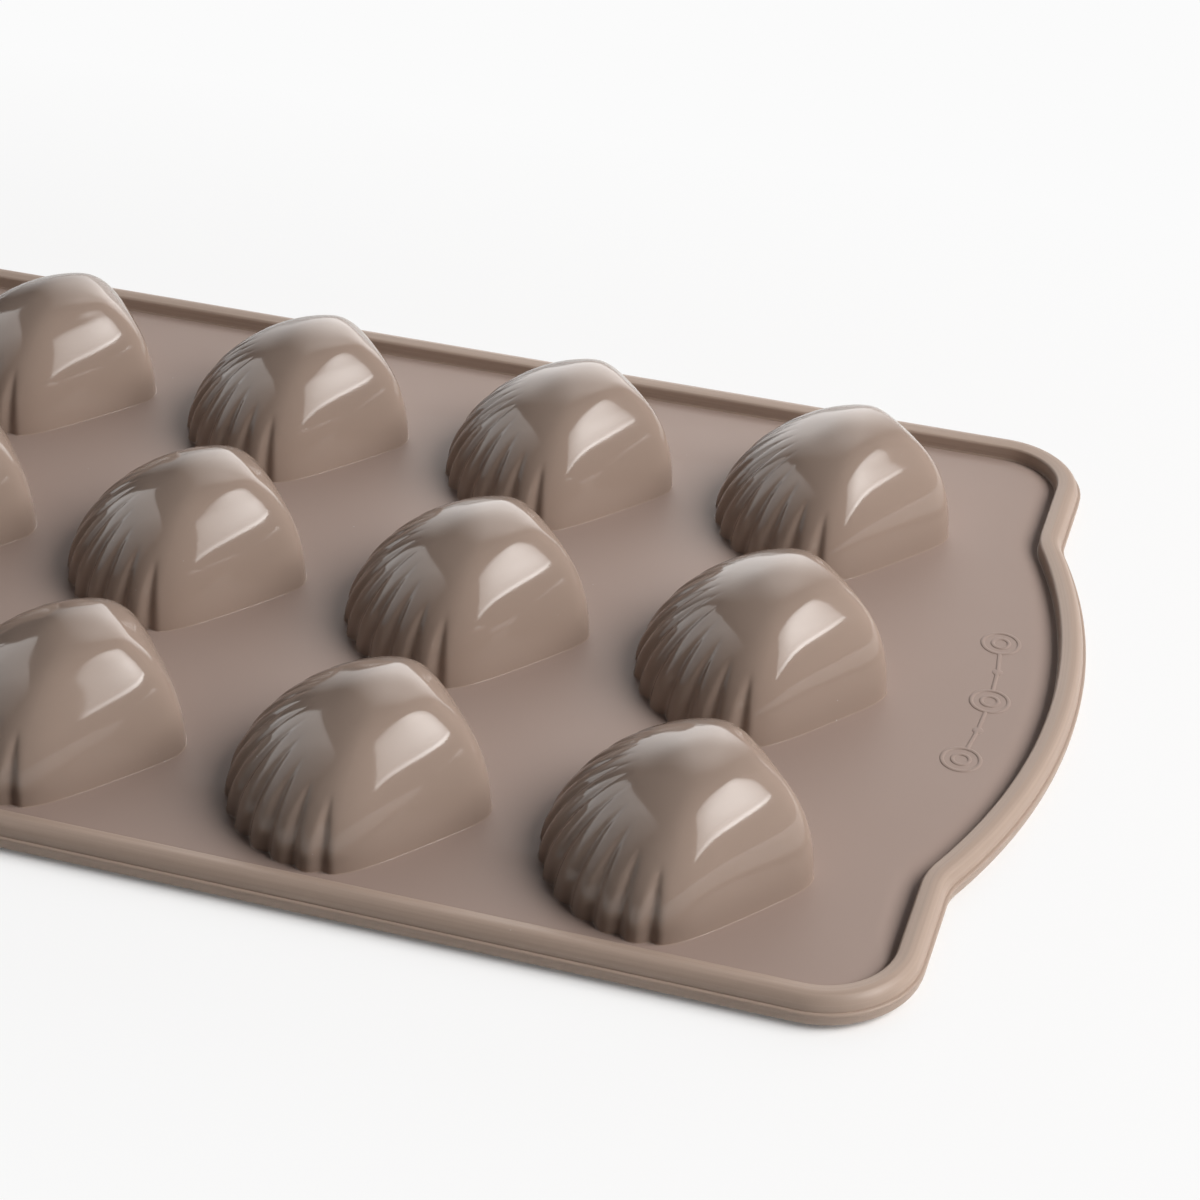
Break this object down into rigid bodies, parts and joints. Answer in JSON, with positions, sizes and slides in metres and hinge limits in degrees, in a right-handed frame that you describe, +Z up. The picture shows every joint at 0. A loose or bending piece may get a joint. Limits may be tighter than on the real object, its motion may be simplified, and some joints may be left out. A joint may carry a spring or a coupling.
{
  "type": "silicone shell mould tray",
  "caption": "Silicone mould tray with ribbed scallop-shell cups on a thin deck and a thick wired rim with a curved handle at each end, shown cups up.",
  "frame": {"origin": "middle of the tray's bounding box, on the table that the rim stands on", "axes": "+Z up, the way the cups stand; +X along the tray towards the cups' hinge points and the marked end; +Y towards the back edge"},
  "size_m": [0.3018, 0.1644, 0.0236],
  "materials": {
    "silicone_deck": "satin taupe silicone",
    "silicone_rim": "satin taupe silicone",
    "silicone_cup": "polished taupe silicone",
    "steel_wire": "drawn bright wire"
  },
  "bodies": {
    "root": {"deck": "silicone_deck", "rim_bead": "silicone_rim", "rim_lip": "silicone_rim", "rim_wire": "steel_wire", "deck_marks": "silicone_deck", "cup_front_1": "silicone_cup", "cup_front_2": "silicone_cup", "cup_front_3": "silicone_cup", "cup_front_4": "silicone_cup", "cup_front_5": "silicone_cup", "cup_middle_1": "silicone_cup", "cup_middle_2": "silicone_cup", "cup_middle_3": "silicone_cup", "cup_middle_4": "silicone_cup", "cup_middle_5": "silicone_cup", "cup_back_1": "silicone_cup", "cup_back_2": "silicone_cup", "cup_back_3": "silicone_cup", "cup_back_4": "silicone_cup", "cup_back_5": "silicone_cup"}
  },
  "joints": []
}
